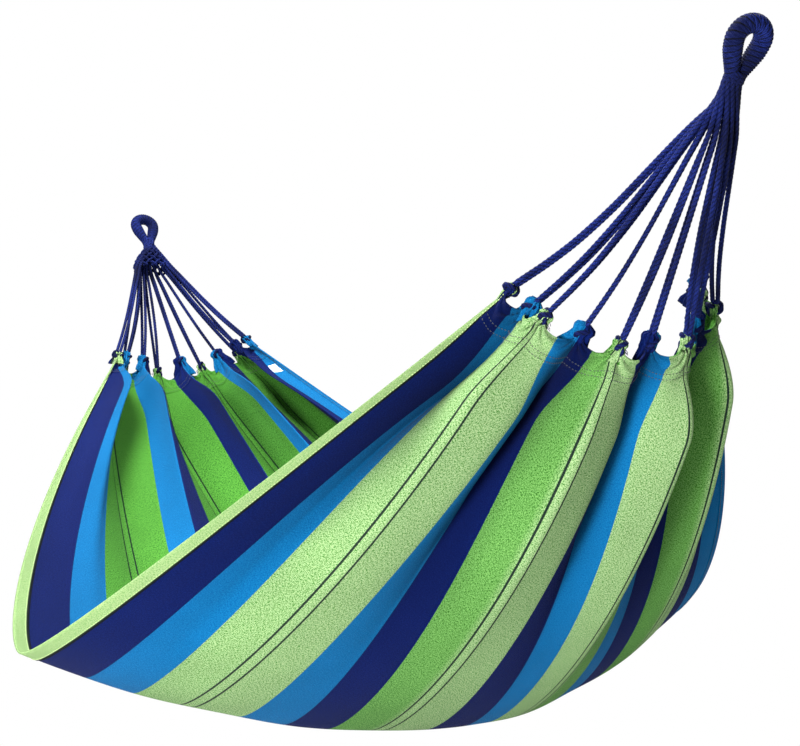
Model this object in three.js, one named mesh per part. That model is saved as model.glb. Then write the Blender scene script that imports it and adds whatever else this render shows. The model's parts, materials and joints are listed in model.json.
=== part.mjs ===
// A fabric camping hammock with gathered ends, hanging empty between two hooks and spread open.
// Millimetres, +Z up. The origin is where the near eye loop sits on its hook, and the hanging line
// runs along X, with the far eye loop at -X. The front rim of the bed is at -Y.
import * as THREE from "three";

// Hanging line and the loops of rope that go over the hooks
const EYE_SPAN = 2030;
const CORD_SLOPE = 56.6; // degrees below the hanging line that each bundle of cords leaves its hook
const THROAT_DROP = 62; // from the hook seat to the throat, along the bundle
const EYE_RADIUS = 19; // to the middle of the rope
const WHIPPED_RADIUS = 10;
const WHIPPING_BORE = 4.7;
const CORE_RADIUS = 4;
const THROAT_LEG = 4.2; // half the distance between the two legs of the core in the throat
const COLLAR_RADIUS = 12.4;
const COLLAR_BORE = 9.6;
const BARE_SHARE = 0.165; // of the core's length, left without whipping at each leg
const COLLAR_TOP = 47; // below the hook seat, along the bundle
const CLEAR = 0.4; // gap between pieces that touch on the real hammock

// Cords
const CORD_DIAMETER = 6;
const LEG_SPACING = 6.6; // between the two legs of a doubled cord
const STEM_LENGTH = 52; // throat to the place where the cords fan out
const NEAR_FAN = { half: 26, depth: 24 }; // half width and depth of the row of cords leaving the stem
const FAR_FAN = { half: 34, depth: 26 };
const NEAR_BOW = 0.1; // how far a cord is drawn in towards the middle one, half way along
const FAR_BOW = 0.04;
const STRAIGHT_START = 6; // a cord leaves its stem in line with it for this far
const KNOT_LENGTH = 12;
const KNOT_RADIUS = 7;
const CORNER_INSET = 0.006; // share of the bed's width from each rim to the knot at its corner
const KNOT_GAP = 2; // from the cloth's edge to its knot

// Bed: the cloth between the hooks
// Each gathered end is an arch from corner to corner: half its width, how far in from the hook and
// below the hanging line its corners are, how much the rear corner is the higher, and how far the
// arch's middle lies below, towards the hook and to the rear
const NEAR_END = { half: 142, inset: 286, drop: 260, tilt: 14, sag: 86, reach: 101, shift: -4 };
const FAR_END = { half: 138, inset: 250, drop: 282, tilt: 20, sag: 42, reach: 91, shift: 25 };
const BED_DROP = 870; // hanging line down to the lowest cloth
const RIM_RISE = 144; // lowest cloth up to the rim, mid-length
const FRONT_HALF = 628; // hanging line out to each rim, mid-length
const REAR_HALF = 379;
const MID_SHIFT = 350; // the deepest part of the bed lies this far towards the near end
const SPREAD_POWER = 1.54;
const SAG_POWER = 1.32;
const MID_ROUNDING = 0.03; // share of the half length over which the middle turns
const CLOTH = 2.4;
const HEM_CLOTH = 3.6;
const HEM_WIDTH = 26;
const SLEEVE_WIDTH = 45;
const CUT_WIDTH = 1160;
const CUT_LENGTH = 1940;

// Stripes across the bed, in units of one narrow stripe, from the front rim
const EDGE_STRIPE = 0.25;
const WIDE_STRIPE = 2.4;
const STRIPES = [
  EDGE_STRIPE, 1, 1, WIDE_STRIPE, 1, 1, WIDE_STRIPE, 1, 1, WIDE_STRIPE, 1, 1, WIDE_STRIPE, 1, 1,
];

// Folds: the wide stripes stand out in crests, and the narrow pairs lie deep between them
const OUTER_PAIR = 1.5; // from the middle of the nearest wide stripe to the fold beside each rim
const FLAT_SIDES = [1, 1, -1, 1]; // the half of each wide stripe that lies flat: 1 is the rear half
const STEEP_HEIGHT = -0.45; // heights on a scale from -1, the deepest fold, to 1, the crest
const FLAT_HEIGHT = 0.14;
const FOLD_ROUNDING = 0.14; // narrow stripes to each side of a bend that its rounding takes
const FOLD_DEPTH = 72; // if all the cloth's width were spare
const FOLD_POWER = 1.37;
const FOLD_SINK = 0.17; // the folds' mean level lies this share of their depth inside
const FOLD_SQUEEZE = 1.34; // how much closer together the deep parts lie than the crests
const SQUEEZE_POWER = 1.76;
const FOLD_LEAN = 0.02; // the crests lean this share of their depth towards the front rim
const FOLD_EDGE = 0.16; // share of the depth that is left at the gathered edge
const FOLD_RISE = 0.08; // share of the bed's length over which the folds reach their full depth
const END_SHARE = 0.34; // gathered width over spread width
const RIM_FADE = 0.05; // share of the bed's width over which the folds die out at the rims
const LOBE_BULGE = 10; // the edge stands out this much between two gathers
const SCALLOP = 10; // and hangs this much lower
const SCALLOP_REACH = 0.1;

// A blank label on the inside of the last stripe, near the far end
const LABEL_LENGTH = 26;
const LABEL_WIDTH = 26;
const LABEL_CLOTH = 0.8;
const LABEL_FROM_END = 82;
const LABEL_FROM_RIM = 40;

const NAVY = { color: 0x1b2a7a, roughness: 0.85, metalness: 0 };
const DARK_NAVY = { color: 0x141f5c, roughness: 0.9, metalness: 0 };
const CANVAS = { color: 0x8cc24a, roughness: 0.95, metalness: 0 };
const HEM = { color: 0xc4e29c, roughness: 0.95, metalness: 0 };
const SLEEVE = { color: 0x2c7fc4, roughness: 0.95, metalness: 0 };
const LABEL = { color: 0xf4f4f0, roughness: 0.7, metalness: 0 };

const ACROSS = new THREE.Vector3(0, 1, 0);
const hammock = new THREE.Group();

// The two ends: where each hook seat is, and the unit direction that its cords hang in.
const slope = THREE.MathUtils.degToRad(CORD_SLOPE);
const ENDS = [
  { name: "near", seatX: 0, inward: -1, fan: NEAR_FAN, bow: NEAR_BOW, edge: NEAR_END, u: 0 },
  { name: "far", seatX: -EYE_SPAN, inward: 1, fan: FAR_FAN, bow: FAR_BOW, edge: FAR_END, u: 1 },
];
for (const end of ENDS) {
  end.down = new THREE.Vector3(end.inward * Math.cos(slope), 0, -Math.sin(slope));
  end.out = new THREE.Vector3(-end.inward * Math.sin(slope), 0, -Math.cos(slope));
  end.seat = new THREE.Vector3(end.seatX, 0, 0);
}

function addPiece(name, geometry, finish) {
  const piece = new THREE.Mesh(geometry, new THREE.MeshStandardMaterial(finish));
  piece.name = name;
  hammock.add(piece);
  return piece;
}

// A point given across the hanging line, down the bundle of cords from the seat, and out from it.
function endPoint(end, across, down, out = 0) {
  return end.seat
    .clone()
    .addScaledVector(ACROSS, across)
    .addScaledVector(end.down, down)
    .addScaledVector(end.out, out);
}

function polygon(radius, sides) {
  const shape = new THREE.Shape();
  for (let i = 0; i < sides; i++) {
    const angle = (2 * Math.PI * i) / sides;
    const corner = [radius * Math.cos(angle), radius * Math.sin(angle)];
    if (i === 0) shape.moveTo(...corner);
    else shape.lineTo(...corner);
  }
  shape.closePath();
  return shape;
}

function tube(curve, radius, steps, sides, bore = 0) {
  const section = polygon(radius, sides);
  if (bore) section.holes.push(new THREE.Path(polygon(bore, sides).getPoints()));
  return new THREE.ExtrudeGeometry(section, { extrudePath: curve, steps, bevelEnabled: false });
}

// A closed skin over rings of points, with a flat fan over each end.
function skin(rings) {
  const sides = rings[0].length;
  const points = rings.flat();
  const faces = [];
  for (let k = 0; k + 1 < rings.length; k++) {
    for (let i = 0; i < sides; i++) {
      const a = k * sides + i;
      const b = k * sides + ((i + 1) % sides);
      faces.push(a, b, b + sides, a, b + sides, a + sides);
    }
  }
  for (const last of [false, true]) {
    const ring = last ? rings.at(-1) : rings[0];
    const base = last ? (rings.length - 1) * sides : 0;
    const middle = points.length;
    points.push(ring.reduce((sum, p) => sum.add(p), new THREE.Vector3()).divideScalar(sides));
    for (let i = 0; i < sides; i++) {
      const a = base + i;
      const b = base + ((i + 1) % sides);
      faces.push(...(last ? [a, b, middle] : [b, a, middle]));
    }
  }
  return new THREE.BufferGeometry().setFromPoints(points).setIndex(faces);
}

// Eye loops: the cords of each end, doubled into a loop and whipped with thin cord.
function eyePoint(end, angle) {
  const turn = THREE.MathUtils.degToRad(angle);
  const middle = EYE_RADIUS - WHIPPED_RADIUS;
  return endPoint(end, EYE_RADIUS * Math.cos(turn), middle - EYE_RADIUS * Math.sin(turn));
}

function eyeCurve(end) {
  const legs = [
    [THROAT_LEG, THROAT_DROP - 1.6],
    [THROAT_LEG, 54],
    [5, 47],
    [10.6, 36],
    [16.4, 24],
  ];
  const arc = [];
  for (let angle = -12; angle <= 192; angle += 20.4) arc.push(eyePoint(end, angle));
  return new THREE.CatmullRomCurve3([
    ...legs.map(([across, down]) => endPoint(end, across, down)),
    ...arc,
    ...legs.reverse().map(([across, down]) => endPoint(end, -across, down)),
  ], false, "centripetal");
}

function addEye(end) {
  const core = eyeCurve(end);
  addPiece(end.name + "_eye_core", tube(core, CORE_RADIUS, 30, 8), DARK_NAVY);

  const along = evenly(BARE_SHARE, 1 - BARE_SHARE, 24).map((share) => core.getPointAt(share));
  const whipped = new THREE.CatmullRomCurve3(along);
  const whipping = tube(whipped, WHIPPED_RADIUS, 24, 10, WHIPPING_BORE);
  addPiece(end.name + "_eye_whipping", whipping, NAVY);

  const bottom = THROAT_DROP - 1 - COLLAR_TOP;
  const bulge = 0.8;
  const profile = [
    [COLLAR_BORE, 0],
    [COLLAR_RADIUS - bulge, 0],
    [COLLAR_RADIUS, bottom * 0.3],
    [COLLAR_RADIUS, bottom * 0.7],
    [COLLAR_RADIUS - bulge, bottom],
    [COLLAR_BORE, bottom],
    [COLLAR_BORE, 0],
  ].map(([radius, height]) => new THREE.Vector2(radius, height));
  const seizing = addPiece(
    end.name + "_throat_seizing", new THREE.LatheGeometry(profile, 24), NAVY);
  const up = end.down.clone().negate();
  seizing.quaternion.setFromUnitVectors(ACROSS, up);
  seizing.position.copy(endPoint(end, 0, THROAT_DROP - 1));
}

// Stems: the cords lie together from the throat, pointed at the top so that they swing freely there.
function addStem(end, name, halfOut) {
  const sides = 16;
  const neck = 12; // half width where the cords are still one round bundle
  const foot = end.fan.half + 4;
  const sections = [
    [CLEAR, CLEAR, CLEAR, 0],
    [11, neck * 0.8, neck * 0.8, 0],
    [22, neck, neck, 0],
    [36, (neck + foot) / 2, (neck + halfOut) / 2, end.fan.depth / 4],
    [STEM_LENGTH, foot, halfOut, end.fan.depth / 2],
  ];
  const rings = sections.map(([down, half, thick, shift]) => {
    const ring = [];
    for (let i = 0; i < sides; i++) {
      const angle = (2 * Math.PI * i) / sides;
      const out = shift - end.inward * thick * Math.sin(angle);
      ring.push(endPoint(end, half * Math.cos(angle), THROAT_DROP + down, out));
    }
    return ring;
  });
  addPiece(name, skin(rings), NAVY);
}

// The bed, as a surface: u runs from the near end to the far end, v from the front rim to the rear.
const stripeTotal = STRIPES.reduce((sum, width) => sum + width, 0);
const stripe = 1 / stripeTotal;
const centres = [];
STRIPES.reduce((sum, width) => {
  if (width === WIDE_STRIPE) centres.push((sum + width / 2) * stripe);
  return sum + width;
}, 0);
const pairs = [
  centres[0] - OUTER_PAIR * stripe,
  ...centres.slice(1).map((centre, k) => (centre + centres[k]) / 2),
  centres.at(-1) + OUTER_PAIR * stripe,
];
const inOrder = (places) => places.sort((a, b) => a - b);
const gathers = inOrder([0, 1, ...centres, ...pairs]);

// The folds repeat like waves: a fold is a whole turn, and the flat half of each wide stripe is its top
const tops = centres.map((centre, k) => centre + (FLAT_SIDES[k] * WIDE_STRIPE * stripe) / 4);
const turnPlaces = inOrder([0, 1, ...tops, ...pairs]);
const lastTurn = centres.length + 0.25;
const turns = turnPlaces.map((_, k) => THREE.MathUtils.clamp((k - 1) / 2, -0.25, lastTurn));

const bends = [[0, 0], [1, 0], ...pairs.map((pair) => [pair, -1])];
centres.forEach((centre, k) => {
  const half = (FLAT_SIDES[k] * WIDE_STRIPE * stripe) / 2;
  bends.push([centre - half, STEEP_HEIGHT], [centre, 1], [centre + half, FLAT_HEIGHT]);
});
bends.sort((a, b) => a[0] - b[0]);
const bendPlaces = bends.map(([place]) => place);
const bendHeights = bends.map(([, height]) => height);

function between(places, values, at) {
  let k = 0;
  while (k < places.length - 2 && at > places[k + 1]) k++;
  const share = (at - places[k]) / (places[k + 1] - places[k]);
  return THREE.MathUtils.lerp(values[k], values[k + 1], THREE.MathUtils.clamp(share, 0, 1));
}

function endEdge(end, v) {
  const { half, inset, drop, tilt, sag, reach, shift } = end.edge;
  const arch = Math.sin(Math.PI * v);
  return new THREE.Vector3(
    end.seatX + end.inward * (inset - reach * arch),
    shift * arch - half * Math.cos(Math.PI * v),
    tilt * (2 * v - 1) - drop - sag * arch,
  );
}

function midLength(u, power) {
  const soft = (distance) => (distance * distance + MID_ROUNDING ** 2) ** (power / 2);
  return (soft(1) - soft(2 * u - 1)) / (soft(1) - soft(0));
}

function hangingPoint(u, v) {
  const across = 1 - 2 * v;
  const half = across > 0 ? FRONT_HALF : REAR_HALF;
  const near = endEdge(ENDS[0], v);
  const far = endEdge(ENDS[1], v);
  const middle = near.clone().add(far).multiplyScalar(0.5);
  const spread = midLength(u, SPREAD_POWER);
  const sag = midLength(u, SAG_POWER);
  const point = near.clone().lerp(far, u);
  point.x += spread * MID_SHIFT;
  point.y += spread * (-half * across - middle.y);
  point.z += sag * (-BED_DROP + RIM_RISE * across * across - middle.z);
  return point;
}

function fade(distance, reach) {
  return Math.max(0, 1 - distance / reach) ** 2;
}

function surfaceNormal(pointAt, u, v) {
  const step = 1e-3;
  const alongU = pointAt(Math.min(u + step, 1), v).sub(pointAt(Math.max(u - step, 0), v));
  const alongV = pointAt(u, Math.min(v + step, 1)).sub(pointAt(u, Math.max(v - step, 0)));
  return alongU.cross(alongV).normalize();
}

// From -1 in the deepest fold to 1 on a crest, with the bends rounded off
function foldHeight(v) {
  const samples = evenly(-1, 1, 6);
  const heights = samples.map((t) => between(bendPlaces, bendHeights, v + t * FOLD_ROUNDING * stripe));
  return heights.reduce((sum, height) => sum + height, 0) / samples.length;
}

// The folds take up the width that the bed hasn't spread to yet.
function spareDepth(u) {
  const share = END_SHARE + (1 - END_SHARE) * midLength(u, SPREAD_POWER);
  return FOLD_DEPTH * Math.max(0, 1 - share * share) ** FOLD_POWER;
}

function bedPoint(u, v) {
  const turn = 2 * Math.PI * between(turnPlaces, turns, v);
  const rim = THREE.MathUtils.smoothstep(Math.min(v, 1 - v), 0, RIM_FADE);
  const lobe = Math.abs(Math.sin(Math.PI * between(gathers, gathers.map((_, k) => k), v)));
  const spare = spareDepth(u) * rim;
  const rise = THREE.MathUtils.smoothstep(Math.min(u, 1 - u), 0, FOLD_RISE);
  const depth = spare * THREE.MathUtils.lerp(FOLD_EDGE, 1, rise);

  const scallop = (SCALLOP / CUT_LENGTH) * lobe;
  const uHung = u + scallop * (fade(u, SCALLOP_REACH) - fade(1 - u, SCALLOP_REACH));
  const squeeze = FOLD_SQUEEZE * (depth / FOLD_DEPTH) ** SQUEEZE_POWER;
  const shift = (-squeeze * (WIDE_STRIPE + 2) * stripe * Math.sin(turn)) / (2 * Math.PI);
  const vPlaced = THREE.MathUtils.clamp(v + shift, 0, 1);

  const step = 1e-3;
  const across = hangingPoint(uHung, Math.min(vPlaced + step, 1))
    .sub(hangingPoint(uHung, Math.max(vPlaced - step, 0)))
    .normalize();
  const bulge = LOBE_BULGE * lobe * fade(Math.min(u, 1 - u), SCALLOP_REACH);
  return hangingPoint(uHung, vPlaced)
    .addScaledVector(
      surfaceNormal(hangingPoint, uHung, vPlaced), depth * (foldHeight(v) - FOLD_SINK) + bulge)
    .addScaledVector(across, (-FOLD_LEAN * spare * (1 - Math.cos(turn))) / 2);
}

// A slab of cloth over a patch of the bed, given by its rows and columns, set off outwards by a bit.
function clothSlab(rows, columns, thickness, offset = 0) {
  const points = [];
  for (const side of [0.5, -0.5]) {
    for (const u of rows) {
      for (const v of columns) {
        const normal = surfaceNormal(bedPoint, u, v);
        points.push(bedPoint(u, v).addScaledVector(normal, side * thickness + offset));
      }
    }
  }
  const wide = columns.length;
  const inner = rows.length * wide;
  const faces = [];
  const quad = (a, b, c, d) => faces.push(a, b, c, a, c, d);
  for (let i = 0; i + 1 < rows.length; i++) {
    for (let j = 0; j + 1 < wide; j++) {
      const a = i * wide + j;
      quad(a, a + wide, a + wide + 1, a + 1);
      quad(inner + a, inner + a + 1, inner + a + wide + 1, inner + a + wide);
    }
  }
  for (let i = 0; i + 1 < rows.length; i++) {
    const left = i * wide;
    const right = left + wide - 1;
    quad(left, inner + left, inner + left + wide, left + wide);
    quad(right, right + wide, inner + right + wide, inner + right);
  }
  for (let j = 0; j + 1 < wide; j++) {
    const last = (rows.length - 1) * wide + j;
    quad(j, j + 1, inner + j + 1, inner + j);
    quad(last, inner + last, inner + last + 1, last + 1);
  }
  return new THREE.BufferGeometry().setFromPoints(points).setIndex(faces);
}

function evenly(from, to, count) {
  return Array.from({ length: count + 1 }, (_, i) => from + ((to - from) * i) / count);
}

// Columns that follow the bends of the folds, with the same number of steps between each two.
function foldColumns(from, to, steps, extra) {
  const inside = bendPlaces.filter((place) => place > from && place < to);
  const stops = [from, ...inside, to];
  const columns = [from];
  for (let k = 0; k + 1 < stops.length; k++) {
    columns.push(...evenly(stops[k], stops[k + 1], steps).slice(1));
  }
  return inOrder([...columns, ...extra]);
}

function addBed() {
  const hem = HEM_WIDTH / CUT_WIDTH;
  const hemGap = (8 * CLEAR) / CUT_WIDTH; // the cloth is narrower at its ends, and the gap with it
  const sleeve = SLEEVE_WIDTH / CUT_LENGTH;
  const sleeveGap = (7 * CLEAR) / CUT_LENGTH;
  const labelU = 1 - LABEL_FROM_END / CUT_LENGTH;
  const labelV = 1 - LABEL_FROM_RIM / CUT_WIDTH;
  const labelRows = [-0.5, 0.5].map((side) => labelU + (side * LABEL_LENGTH) / CUT_LENGTH);
  const labelColumns = [-0.5, 0.5].map((side) => labelV + (side * LABEL_WIDTH) / CUT_WIDTH);

  const columns = foldColumns(hem + hemGap, 1 - hem - hemGap, 2, labelColumns);
  const bedRows = inOrder([...evenly(sleeve + sleeveGap, 1 - sleeve - sleeveGap, 26), ...labelRows]);
  addPiece("bed_panel", clothSlab(bedRows, columns, CLOTH), CANVAS);
  const nearRows = evenly(0, sleeve, 2);
  const farRows = evenly(1 - sleeve, 1, 2);
  addPiece("near_end_sleeve", clothSlab(nearRows, columns, HEM_CLOTH), SLEEVE);
  addPiece("far_end_sleeve", clothSlab(farRows, columns, HEM_CLOTH), SLEEVE);

  const hemRows = [...nearRows, ...bedRows, ...farRows];
  addPiece("front_side_hem", clothSlab(hemRows, [0, hem], HEM_CLOTH), HEM);
  addPiece("rear_side_hem", clothSlab(hemRows, [1 - hem, 1], HEM_CLOTH), SLEEVE);

  const inside = -(CLOTH / 2 + LABEL_CLOTH / 2 + CLEAR);
  addPiece("blank_label", clothSlab(labelRows, labelColumns, LABEL_CLOTH, inside), LABEL);
}

// Clew cords: each is doubled, hangs from the stem and is tied round one gather of the cloth.
function addClewCord(end, index) {
  const v = THREE.MathUtils.clamp(gathers[index], CORNER_INSET, 1 - CORNER_INSET);
  const angle = (Math.PI * index) / (gathers.length - 1);
  const { half, depth } = end.fan;
  const radial = new THREE.Vector3()
    .addScaledVector(ACROSS, -Math.cos(angle))
    .addScaledVector(end.out, Math.sin(angle))
    .normalize();
  const start = endPoint(
    end, -half * Math.cos(angle), THROAT_DROP + STEM_LENGTH + CLEAR, depth * Math.sin(angle));
  const gather = bedPoint(end.u, v);
  const middle = endPoint(end, 0, THROAT_DROP + STEM_LENGTH + CLEAR, depth);
  const middleGather = bedPoint(end.u, 0.5);
  const pull = start.clone().sub(gather).normalize();
  const edgeGap = HEM_CLOTH / 2 + KNOT_GAP;
  const bight = gather.clone().addScaledVector(pull, edgeGap + KNOT_LENGTH + CLEAR + CORD_DIAMETER / 2);

  // The two legs lie side by side, in the plane that holds the cord and this direction
  const side = radial.clone().addScaledVector(pull, -radial.dot(pull)).normalize();
  const turnStart = bight.clone().addScaledVector(pull, LEG_SPACING / 2);
  const bend = start.clone().addScaledVector(end.down, STRAIGHT_START);
  const along = [0, 0.2, 0.45, 0.7, 0.95].map((share) => {
    const inward = end.bow * Math.sin(Math.PI * share);
    return bend.clone().lerp(turnStart, share).lerp(middle.clone().lerp(middleGather, share), inward);
  });
  const legs = [start, ...along];
  const apart = (points, sign) => points.map((point, k) =>
    point.clone().addScaledVector(k < 2 ? radial : side, (sign * LEG_SPACING) / 2));
  const turn = [];
  for (let step = 0; step <= 6; step++) {
    const turned = (Math.PI * step) / 6;
    turn.push(bight
      .clone()
      .addScaledVector(pull, (LEG_SPACING / 2) * (1 - Math.sin(turned)))
      .addScaledVector(side, (LEG_SPACING / 2) * Math.cos(turned)));
  }
  const route = [...apart(legs, 1), ...turn, ...apart(legs, -1).reverse()];
  const curve = new RouteCurve(route);
  const number = index + 1;
  addPiece(`${end.name}_clew_cord_${number}`, tube(curve, CORD_DIAMETER / 2, route.length - 1, 8), NAVY);

  const profile = [
    [0, 0],
    [KNOT_RADIUS * 0.35, 0],
    [KNOT_RADIUS, KNOT_LENGTH * 0.4],
    [KNOT_RADIUS, KNOT_LENGTH * 0.7],
    [KNOT_RADIUS * 0.6, KNOT_LENGTH],
    [0, KNOT_LENGTH],
  ].map(([radius, height]) => new THREE.Vector2(radius, height));
  const knot = addPiece(
    `${end.name}_gather_knot_${number}`, new THREE.LatheGeometry(profile, 10), DARK_NAVY);
  knot.quaternion.setFromUnitVectors(ACROSS, pull);
  knot.position.copy(gather).addScaledVector(pull, edgeGap);
}

// A curve that passes through its points at even steps, so that a tube's rings sit on them.
class RouteCurve extends THREE.Curve {
  constructor(points) {
    super();
    this.points = points;
  }

  getPoint(t, target = new THREE.Vector3()) {
    const place = THREE.MathUtils.clamp(t, 0, 1) * (this.points.length - 1);
    const k = Math.min(Math.floor(place), this.points.length - 2);
    return target.copy(this.points[k]).lerp(this.points[k + 1], place - k);
  }

  getPointAt(t, target) {
    return this.getPoint(t, target);
  }

  getTangentAt(t, target = new THREE.Vector3()) {
    const place = Math.round(THREE.MathUtils.clamp(t, 0, 1) * (this.points.length - 1));
    const before = this.points[Math.max(place - 1, 0)];
    const after = this.points[Math.min(place + 1, this.points.length - 1)];
    return target.copy(after).sub(before).normalize();
  }
}

for (const end of ENDS) {
  addEye(end);
  for (let index = 0; index < gathers.length; index++) addClewCord(end, index);
}
addStem(ENDS[0], "near_cord_stem", 16);
addStem(ENDS[1], "far_nettle_weave", 15);
addBed();

export default hammock;
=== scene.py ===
"""A striped cloth camping hammock with gathered ends, hung by two whipped rope eyes.

Metres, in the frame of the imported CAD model: +X runs along the hanging line towards the near hook,
the front rim of the bed is at -Y, and the origin is the near hook seat.
"""
import json
import math

import bpy
import numpy as np
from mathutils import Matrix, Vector

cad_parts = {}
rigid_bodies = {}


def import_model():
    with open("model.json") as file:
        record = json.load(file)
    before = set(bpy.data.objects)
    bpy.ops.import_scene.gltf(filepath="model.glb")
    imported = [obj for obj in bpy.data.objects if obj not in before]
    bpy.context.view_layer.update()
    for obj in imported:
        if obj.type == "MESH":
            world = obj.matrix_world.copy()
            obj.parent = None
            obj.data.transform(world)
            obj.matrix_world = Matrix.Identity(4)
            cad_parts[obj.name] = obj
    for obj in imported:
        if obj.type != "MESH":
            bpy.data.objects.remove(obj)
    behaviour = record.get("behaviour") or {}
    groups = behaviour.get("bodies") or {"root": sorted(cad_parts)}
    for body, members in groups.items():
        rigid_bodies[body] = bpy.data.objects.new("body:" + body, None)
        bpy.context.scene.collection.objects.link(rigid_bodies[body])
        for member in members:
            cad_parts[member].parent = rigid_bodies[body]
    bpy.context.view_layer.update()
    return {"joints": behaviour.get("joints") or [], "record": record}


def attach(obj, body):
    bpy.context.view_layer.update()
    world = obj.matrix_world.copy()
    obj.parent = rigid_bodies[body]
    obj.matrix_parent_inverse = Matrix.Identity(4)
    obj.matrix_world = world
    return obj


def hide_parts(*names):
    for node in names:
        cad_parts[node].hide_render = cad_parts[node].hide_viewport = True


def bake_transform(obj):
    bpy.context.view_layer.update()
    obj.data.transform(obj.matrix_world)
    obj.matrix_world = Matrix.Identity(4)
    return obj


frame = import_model()
RECORD = frame["record"]
SEATS = {m["name"].split("_")[0]: np.array(m["pos_m"], float) for m in RECORD["mounts"]}
SWING = next(j for j in frame["joints"] if j["name"] == "swing")
EYES, HAMMOCK = SWING["parent"], SWING["child"]

# The hanging line and its two ends, the same as in the CAD model
EYE_SPAN = float(SEATS["near"][0] - SEATS["far"][0])
CORD_SLOPE = math.radians(56.6)
THROAT_DROP = 0.062
STEM_LENGTH = 0.052
EYE_RADIUS = 0.019
WHIPPED_RADIUS = 0.010
LEG_SPACING = 0.0066

# The cords and their knots
ROPE_DIAMETER = 0.0064  # over the fibres that stand out from the laid cord
LEG_SLACK = 0.0055  # how much further apart the slackest two legs stand, half way
STRANDS = 3
LAY_PITCH = 0.020  # length of one whole turn of a strand
CORD_SIDES = 14
CORD_STEP = 0.0013  # between two rings of a cord's mesh
BUNDLE_RADII = {1: 0.0096, -1: 0.0052}  # of the two rings that the cords' legs form at the throat
FIRST_IN_BUNDLE = 252  # degrees round those rings
KNOT_UP = 0.0065  # from the cloth's edge to the middle of its knot
KNOT_RADIUS = 0.0105
BIG_KNOT, SMALL_KNOT = 1.15, 0.95
BIG_TIP, SMALL_TIP = 1.25, 0.85  # the cloth bunched up in them
KNOT_SIDES = 12
FRAY_HAIRS = 9
FRAY_LONG, FRAY_SHORT = 0.014, 0.007
LONG_FRAYS = (2, 4, 6)  # the knots with a longer frayed end, counted from the front rim
HAIR_RADIUS = 0.00035

# The band woven from the cords below the far throat
WEAVE_STRANDS = 12
WEAVE_STRAND = 0.0052
WEAVE_SWEEP = 1.7  # how far round each strand runs, in radians
WEAVE_START = 0.0105  # below the throat
WEAVE_SHORTER = 0.0065  # than the stem
WEAVE_TOP_HALF, WEAVE_TOP_THICK = 0.0100, 0.0095
WEAVE_OUTSIDE = 0.004  # of the fan of cords
WEAVE_WAVE = 0.0016  # how far the strands pass over and under each other

# The eye loops, their whipping and the seizing of their throats
EYE_LEGS = [(0.0050, 0.058), (0.0056, 0.052), (0.0080, 0.044), (0.0120, 0.034), (0.0164, 0.022)]
BARE_RADIUS = 0.0056
WHIPPING_TURN = 0.0033
WHIPPING_RIDGE = 0.0015
WHIPPING_GROWTH = 0.036  # along each leg, to where the rope has its full thickness
SEIZING_TURNS = 2.6
SEIZING_TOP = 0.0150  # above the throat
SEIZING_LENGTH = 0.0105
SEIZING_SLANT = 0.0022
SEIZING_HALF, SEIZING_THICK = 0.0100, 0.0094
SEIZING_CORD = 0.0062

# The bed, the same as in the CAD model
BED_DROP = 0.870
RIM_RISE = 0.144
FRONT_HALF = 0.628
REAR_HALF = 0.379
MID_SHIFT = 0.350
SPREAD_POWER = 1.54
SAG_POWER = 1.32
MID_ROUNDING = 0.03
SLEEVE_WIDTH = 0.045
CUT_WIDTH = 1.160
CUT_LENGTH = 1.940

# Finer than in the CAD model, whose side hems are 26 mm wide and whose cloth is 2.4 mm thick
HEM_WIDTH = 0.019
CLOTH = 0.0013
SLEEVE_CLOTH = 0.0026
HEM_CLOTH = 0.0030

# Stripes across the bed, in units of one narrow stripe, from the front rim
EDGE, WIDE = 0.25, 2.4
STRIPES = [(EDGE, "hem")] + [
    stripe
    for pair in (("navy", "blue"), ("blue", "navy"), ("navy", "blue"), ("blue", "navy"))
    for stripe in ((1, pair[0]), (1, pair[1]), (WIDE, "green"))
] + [(1, "navy"), (1, "blue")]
STRIPE_TOTAL = sum(width for width, _ in STRIPES)
BORDERS = np.cumsum([0] + [width for width, _ in STRIPES]) / STRIPE_TOTAL
UNIT = 1 / STRIPE_TOTAL
OUTER_PAIR = 1.5  # from the middle of the nearest wide stripe to the fold beside each rim
CENTRES = np.array([
    (low + high) / 2 for (width, _), low, high in zip(STRIPES, BORDERS, BORDERS[1:]) if width == WIDE])
PAIRS = np.concatenate([
    [CENTRES[0] - OUTER_PAIR * UNIT], (CENTRES[1:] + CENTRES[:-1]) / 2,
    [CENTRES[-1] + OUTER_PAIR * UNIT]])
GATHERS = np.sort(np.concatenate([[0.0, 1.0], CENTRES, PAIRS]))

# Folds: one half of each wide stripe stands out flat, and the narrow pairs lie deep between
FOLD_SIDES = np.array([1, 1, -1, 1])
FOLD_TOPS = CENTRES + FOLD_SIDES * WIDE / 4 * UNIT
FOLD_PLACES = np.sort(np.concatenate([[0.0, 1.0], FOLD_TOPS, PAIRS]))
PHASES = np.concatenate([[-0.25], np.arange(len(FOLD_PLACES) - 2) / 2, [len(CENTRES) + 0.25]])
FOLD_STEEP = -0.45
FOLD_CREST = 1.0
FOLD_FLAT = 0.14
FOLD_ROUNDING = 0.14
FOLD_DEPTH = 0.072
FOLD_POWER = 1.37
FOLD_SINK = 0.17
FOLD_SQUEEZE = 1.34
SQUEEZE_POWER = 1.76
FOLD_EDGE = 0.16
FOLD_RISE = 0.08
FOLD_LEAN = 0.02
END_SHARE = 0.34
LOBE_BULGE = 0.010
SCALLOP = 0.010
SCALLOP_REACH = 0.1
RIM_FADE = 0.05
PLEATS = 9
PLEAT_DEPTH = 0.0030
PLEAT_START = 0.012  # from the knot, to where the pleats are deepest
PLEAT_REACH = 0.045
PLEAT_TURN = 1.9  # radians between the pleats of one knot and the next
UNEVEN_DEPTH = 0.0035
UNEVEN_REACH = 0.05
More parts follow.
